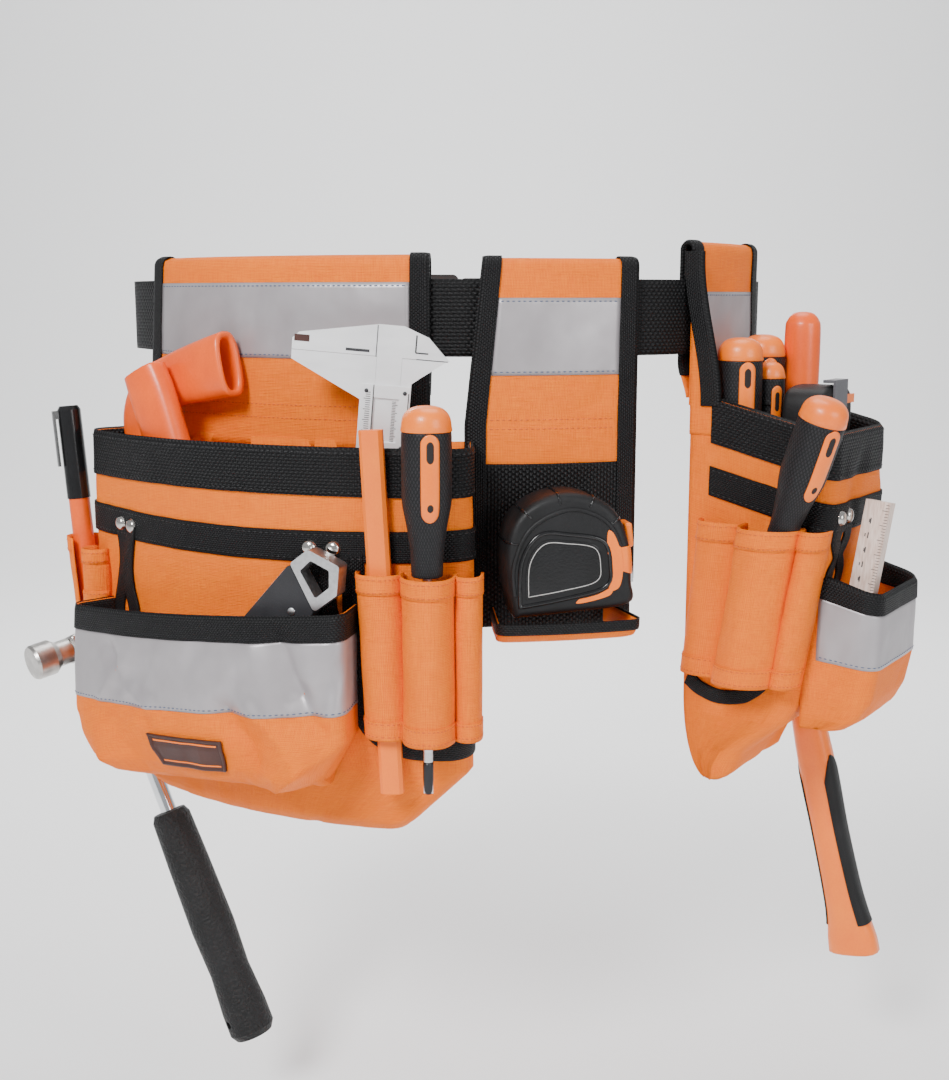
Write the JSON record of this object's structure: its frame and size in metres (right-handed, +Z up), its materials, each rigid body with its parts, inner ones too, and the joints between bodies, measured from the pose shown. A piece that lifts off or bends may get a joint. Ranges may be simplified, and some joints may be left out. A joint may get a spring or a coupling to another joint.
{
  "type": "work tool belt",
  "caption": "Webbing waist belt with side-release buckle and orange fabric pouches with reflective strips, tool tubes and hammer loops, holding removable hand tools.",
  "frame": {"origin": "centre of the waist loop at half the height of the belt", "axes": "+Z up, -Y towards the wearer's front, +X to the right of a person who faces the wearer"},
  "size_m": [0.6552, 0.3879, 0.5939],
  "materials": {
    "belt_webbing": "woven polypropylene",
    "black_webbing": "coarse woven tape",
    "orange_fabric": "coated oxford weave",
    "reflective": "satin reflective film",
    "buckle_plastic": "moulded",
    "rivet_steel": "polished nickel",
    "badge_rubber": "moulded",
    "steel": "satin",
    "chrome": "polished",
    "black_rubber": "textured grip",
    "orange_plastic": "moulded",
    "black_plastic": "moulded",
    "grey_plastic": "moulded",
    "rule_wood": "pale lacquer",
    "cast_zinc": "cast"
  },
  "bodies": {
    "belt": {"belt_webbing": "belt_webbing", "buckle_socket": "buckle_plastic", "buckle_plug": "buckle_plastic"},
    "prong_top": {"buckle_prong_top": "buckle_plastic"},
    "prong_bottom": {"buckle_prong_bottom": "buckle_plastic"},
    "large_pouch": {"large_pouch_panel": "orange_fabric", "large_pouch_binding": "black_webbing", "large_pouch_bag": "orange_fabric", "large_pouch_webbing": "black_webbing", "large_pouch_front_pocket": "orange_fabric", "large_pouch_reflectors": "reflective", "large_pouch_rivets": "rivet_steel", "large_pouch_badge": "badge_rubber", "large_pouch_front_tubes": "orange_fabric", "large_pouch_side_tubes": "orange_fabric", "large_pouch_hammer_loop": "black_webbing"},
    "tape_holder": {"tape_holder_panel": "orange_fabric", "tape_holder_webbing": "black_webbing", "tape_holder_reflector": "reflective", "tape_holder_pocket": "orange_fabric"},
    "side_pouch": {"side_pouch_panel": "orange_fabric", "side_pouch_binding": "black_webbing", "side_pouch_bag": "orange_fabric", "side_pouch_webbing": "black_webbing", "side_pouch_reflectors": "reflective", "side_pouch_rivets": "rivet_steel", "side_pouch_gusset_tubes": "orange_fabric", "side_pouch_hammer_loop": "black_webbing", "small_pocket": "orange_fabric"},
    "marker": {"marker_barrel": "orange_plastic"},
    "marker_cap": {"marker_cap": "black_plastic"},
    "wrench": {"wrench_straight_leg": "orange_plastic"},
    "wrench_bent": {"wrench_bent_leg": "orange_plastic"},
    "caliper": {"caliper_beam": "steel"},
    "caliper_slider": {"caliper_slider": "steel"},
    "pencil": {"carpenter_pencil": "orange_plastic"},
    "front_driver": {"front_driver_handle": "black_rubber", "front_driver_blade": "steel"},
    "knife": {"knife_body": "grey_plastic", "knife_loop": "cast_zinc"},
    "knife_slider": {"knife_slider": "grey_plastic"},
    "claw_hammer": {"claw_hammer_head": "steel", "claw_hammer_shaft": "chrome", "claw_hammer_grip": "black_rubber"},
    "tape": {"tape_case": "black_rubber"},
    "tape_blade": {"tape_blade": "steel"},
    "tape_lock": {"tape_lock": "orange_plastic"},
    "side_driver": {"side_driver_handle": "black_rubber", "side_driver_blade": "steel"},
    "long_driver": {"long_driver_handle": "black_rubber", "long_driver_blade": "steel"},
    "rear_driver": {"rear_driver_handle": "black_rubber", "rear_driver_blade": "steel"},
    "small_driver": {"small_driver": "orange_plastic"},
    "round_file": {"round_file": "orange_plastic"},
    "pocket_tape": {"pocket_tape_case": "black_rubber", "pocket_tape_clip": "grey_plastic"},
    "folding_rule": {"folding_rule": "rule_wood"},
    "club_hammer": {"club_hammer_head": "steel", "club_hammer_handle": "orange_plastic"}
  },
  "joints": [
    {"name": "prong_top_press", "type": "hinge", "parent": "belt", "child": "prong_top", "pos_m": [0.00728, 0.14971, 0.0095], "axis": [0, -1, 0], "range_deg": [0, 8], "stiffness_Nm_per_rad": 2},
    {"name": "prong_bottom_press", "type": "hinge", "parent": "belt", "child": "prong_bottom", "pos_m": [0.00728, 0.14971, -0.0095], "axis": [0, 1, 0], "range_deg": [0, 8], "stiffness_Nm_per_rad": 2},
    {"name": "large_pouch_slide", "type": "hinge", "parent": "belt", "child": "large_pouch", "pos_m": [0.016, 0.14, 0], "axis": [0, 0, 1], "range_deg": [-6, 0]},
    {"name": "tape_holder_slide", "type": "hinge", "parent": "belt", "child": "tape_holder", "pos_m": [0.016, 0.14, 0], "axis": [0, 0, 1], "range_deg": [-0.6, 2.5]},
    {"name": "side_pouch_slide", "type": "hinge", "parent": "belt", "child": "side_pouch", "pos_m": [-0.0488, 0.11946, 0], "axis": [0, 0, 1], "range_deg": [-2.2, 4]},
    {"name": "marker_pull", "type": "slide", "parent": "large_pouch", "child": "marker", "axis": [-0.081, 0.0463, 0.9956], "range_m": [0, 0.1]},
    {"name": "marker_cap_pull", "type": "slide", "parent": "marker", "child": "marker_cap", "axis": [-0.081, 0.0463, 0.9956], "range_m": [0, 0.06]},
    {"name": "wrench_pull", "type": "slide", "parent": "large_pouch", "child": "wrench", "axis": [0, 0, 1], "range_m": [0, 0.13]},
    {"name": "wrench_close", "type": "hinge", "parent": "wrench", "child": "wrench_bent", "pos_m": [-0.16709, -0.12561, -0.145], "axis": [0.5878, 0.809, 0], "range_deg": [0, 14]},
    {"name": "caliper_pull", "type": "slide", "parent": "large_pouch", "child": "caliper", "axis": [0.0872, 0, 0.9962], "range_m": [0, 0.17]},
    {"name": "caliper_open", "type": "slide", "parent": "caliper", "child": "caliper_slider", "axis": [-0.0872, 0, -0.9962], "range_m": [0, 0.1]},
    {"name": "pencil_pull", "type": "slide", "parent": "large_pouch", "child": "pencil", "axis": [-0.0487, 0.0076, 0.9988], "range_m": [0, 0.15]},
    {"name": "front_driver_pull", "type": "slide", "parent": "large_pouch", "child": "front_driver", "axis": [0, 0, 1], "range_m": [0, 0.15]},
    {"name": "knife_pull", "type": "slide", "parent": "large_pouch", "child": "knife", "axis": [0, 0, 1], "range_m": [0, 0.11]},
    {"name": "knife_blade_push", "type": "slide", "parent": "knife", "child": "knife_slider", "axis": [-0.6364, 0.2068, -0.7431], "range_m": [0, 0.03]},
    {"name": "claw_hammer_lift", "type": "slide", "parent": "large_pouch", "child": "claw_hammer", "axis": [-0.3601, 0.1701, 0.9173], "range_m": [0, 0.25]},
    {"name": "tape_lift", "type": "slide", "parent": "tape_holder", "child": "tape", "axis": [-0.1, 0, 0.995], "range_m": [0, 0.04]},
    {"name": "tape_pull", "type": "slide", "parent": "tape", "child": "tape_blade", "axis": [0.9854, 0.1385, 0.099], "range_m": [0, 0.05]},
    {"name": "tape_lock_press", "type": "slide", "parent": "tape", "child": "tape_lock", "axis": [0.1, 0, -0.995], "range_m": [0, 0.004]},
    {"name": "side_driver_pull", "type": "slide", "parent": "side_pouch", "child": "side_driver", "axis": [0.2339, -0.2223, 0.9465], "range_m": [0, 0.12]},
    {"name": "long_driver_pull", "type": "slide", "parent": "side_pouch", "child": "long_driver", "axis": [0, 0, 1], "range_m": [0, 0.18]},
    {"name": "rear_driver_pull", "type": "slide", "parent": "side_pouch", "child": "rear_driver", "axis": [0, 0, 1], "range_m": [0, 0.16]},
    {"name": "small_driver_pull", "type": "slide", "parent": "side_pouch", "child": "small_driver", "axis": [0, 0, 1], "range_m": [0, 0.14]},
    {"name": "file_pull", "type": "slide", "parent": "side_pouch", "child": "round_file", "axis": [0, 0, 1], "range_m": [0, 0.17]},
    {"name": "pocket_tape_lift", "type": "slide", "parent": "side_pouch", "child": "pocket_tape", "axis": [0, 0, 1], "range_m": [0, 0.06]},
    {"name": "rule_pull", "type": "slide", "parent": "side_pouch", "child": "folding_rule", "axis": [0.1608, 0.0603, 0.9851], "range_m": [0, 0.09]},
    {"name": "club_hammer_lift", "type": "slide", "parent": "side_pouch", "child": "club_hammer", "axis": [-0.2, 0.13, 0.9711], "range_m": [0, 0.15]}
  ],
  "couplings": [
    {"joint": "prong_bottom_press", "follows": "prong_top_press", "ratio": 1}
  ]
}
